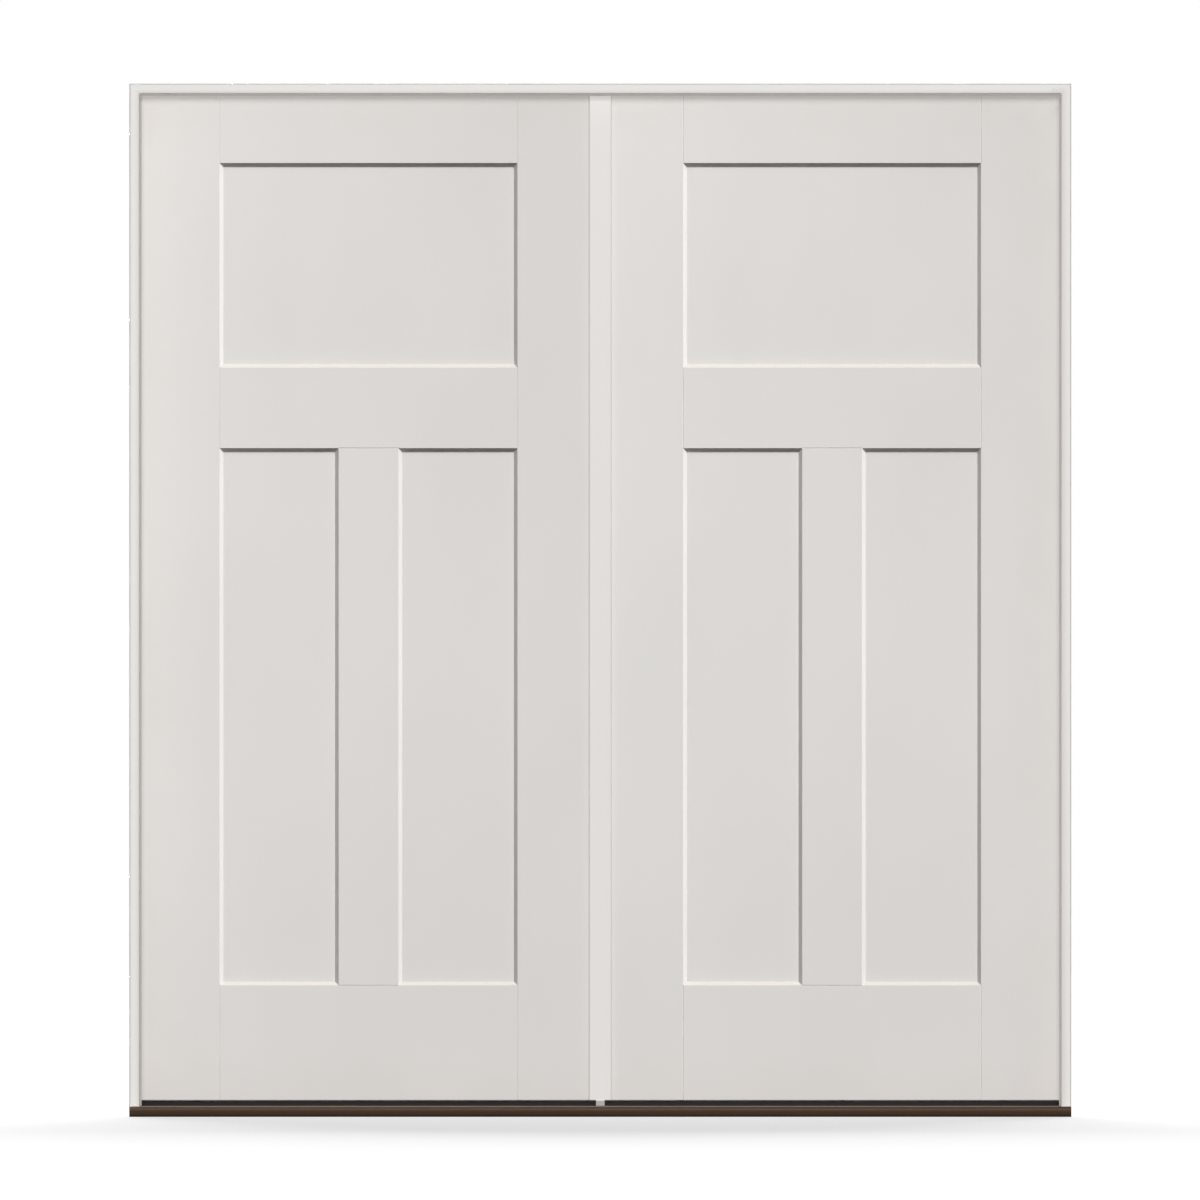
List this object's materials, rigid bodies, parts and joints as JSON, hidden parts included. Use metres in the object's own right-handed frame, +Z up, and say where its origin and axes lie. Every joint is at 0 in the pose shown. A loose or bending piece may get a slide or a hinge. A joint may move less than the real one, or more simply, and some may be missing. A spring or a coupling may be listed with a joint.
{
  "type": "double entry door",
  "caption": "Inswing double entry door: panelled leaves hung in a slim frame on a low metal sill, with a T-astragal and flush bolts on the inactive leaf.",
  "frame": {"origin": "on the sill's underside, midway across, below the frame's outside face", "axes": "+X to the right seen from outside, +Y from outside into the house, +Z up"},
  "size_m": [1.8776, 0.1556, 2.0593],
  "materials": {
    "leaf_skin": "smooth satin painted glass-fibre skin",
    "frame_paint": "primed satin off-white",
    "astragal_paint": "satin off-white",
    "stile_wood": "laminated pine, unfinished",
    "composite": "wood-plastic composite",
    "foam": "rigid polyurethane foam",
    "seal_foam": "dark foam-filled seal",
    "seal_black": "black vinyl",
    "sill_bronze": "dark bronze anodised",
    "cap_vinyl": "dark brown vinyl",
    "block_grey": "grey moulded plastic",
    "hinge_steel": "satin nickel",
    "bolt_steel": "zinc plated"
  },
  "bodies": {
    "frame": {"corner_pads": "seal_foam", "head_jamb": "frame_paint", "head_strike_plate": "bolt_steel", "head_weatherstrip": "seal_foam", "left_bottom_hinge_frame_leaf": "hinge_steel", "left_bottom_hinge_pin": "hinge_steel", "left_jamb": "frame_paint", "left_middle_hinge_frame_leaf": "hinge_steel", "left_middle_hinge_pin": "hinge_steel", "left_top_hinge_frame_leaf": "hinge_steel", "left_top_hinge_pin": "hinge_steel", "left_weatherstrip": "seal_foam", "right_bottom_hinge_frame_leaf": "hinge_steel", "right_bottom_hinge_pin": "hinge_steel", "right_jamb": "frame_paint", "right_middle_hinge_frame_leaf": "hinge_steel", "right_middle_hinge_pin": "hinge_steel", "right_top_hinge_frame_leaf": "hinge_steel", "right_top_hinge_pin": "hinge_steel", "right_weatherstrip": "seal_foam", "sill_cap": "cap_vinyl", "sill_centre_block": "block_grey", "sill_substrate": "composite", "sill_tread": "sill_bronze"},
    "left_leaf": {"left_leaf_bottom_rail": "composite", "left_leaf_core": "foam", "left_leaf_exterior_skin": "leaf_skin", "left_leaf_hinge_stile": "stile_wood", "left_leaf_interior_skin": "leaf_skin", "left_leaf_lock_stile": "stile_wood", "left_leaf_sweep": "seal_black", "left_leaf_top_rail": "stile_wood", "left_bottom_hinge_door_leaf": "hinge_steel", "left_middle_hinge_door_leaf": "hinge_steel", "left_top_hinge_door_leaf": "hinge_steel", "astragal_body": "astragal_paint", "astragal_seal": "seal_foam", "bolt_keepers": "bolt_steel"},
    "right_leaf": {"right_leaf_bottom_rail": "composite", "right_leaf_core": "foam", "right_leaf_exterior_skin": "leaf_skin", "right_leaf_hinge_stile": "stile_wood", "right_leaf_interior_skin": "leaf_skin", "right_leaf_lock_stile": "stile_wood", "right_leaf_sweep": "seal_black", "right_leaf_top_rail": "stile_wood", "right_bottom_hinge_door_leaf": "hinge_steel", "right_middle_hinge_door_leaf": "hinge_steel", "right_top_hinge_door_leaf": "hinge_steel"},
    "top_bolt": {"top_flush_bolt": "bolt_steel"},
    "bottom_bolt": {"bottom_flush_bolt": "bolt_steel"}
  },
  "joints": [
    {"name": "left_leaf_swing", "type": "hinge", "parent": "frame", "child": "left_leaf", "pos_m": [-0.9235, 0.1226, 0], "axis": [0, 0, 1], "range_deg": [0, 110]},
    {"name": "right_leaf_swing", "type": "hinge", "parent": "frame", "child": "right_leaf", "pos_m": [0.9235, 0.1226, 0], "axis": [0, 0, -1], "range_deg": [0, 110]},
    {"name": "top_bolt_slide", "type": "slide", "parent": "left_leaf", "child": "top_bolt", "axis": [0, 0, 1], "range_m": [0, 0.015]},
    {"name": "bottom_bolt_slide", "type": "slide", "parent": "left_leaf", "child": "bottom_bolt", "axis": [0, 0, -1], "range_m": [0, 0.015]}
  ]
}
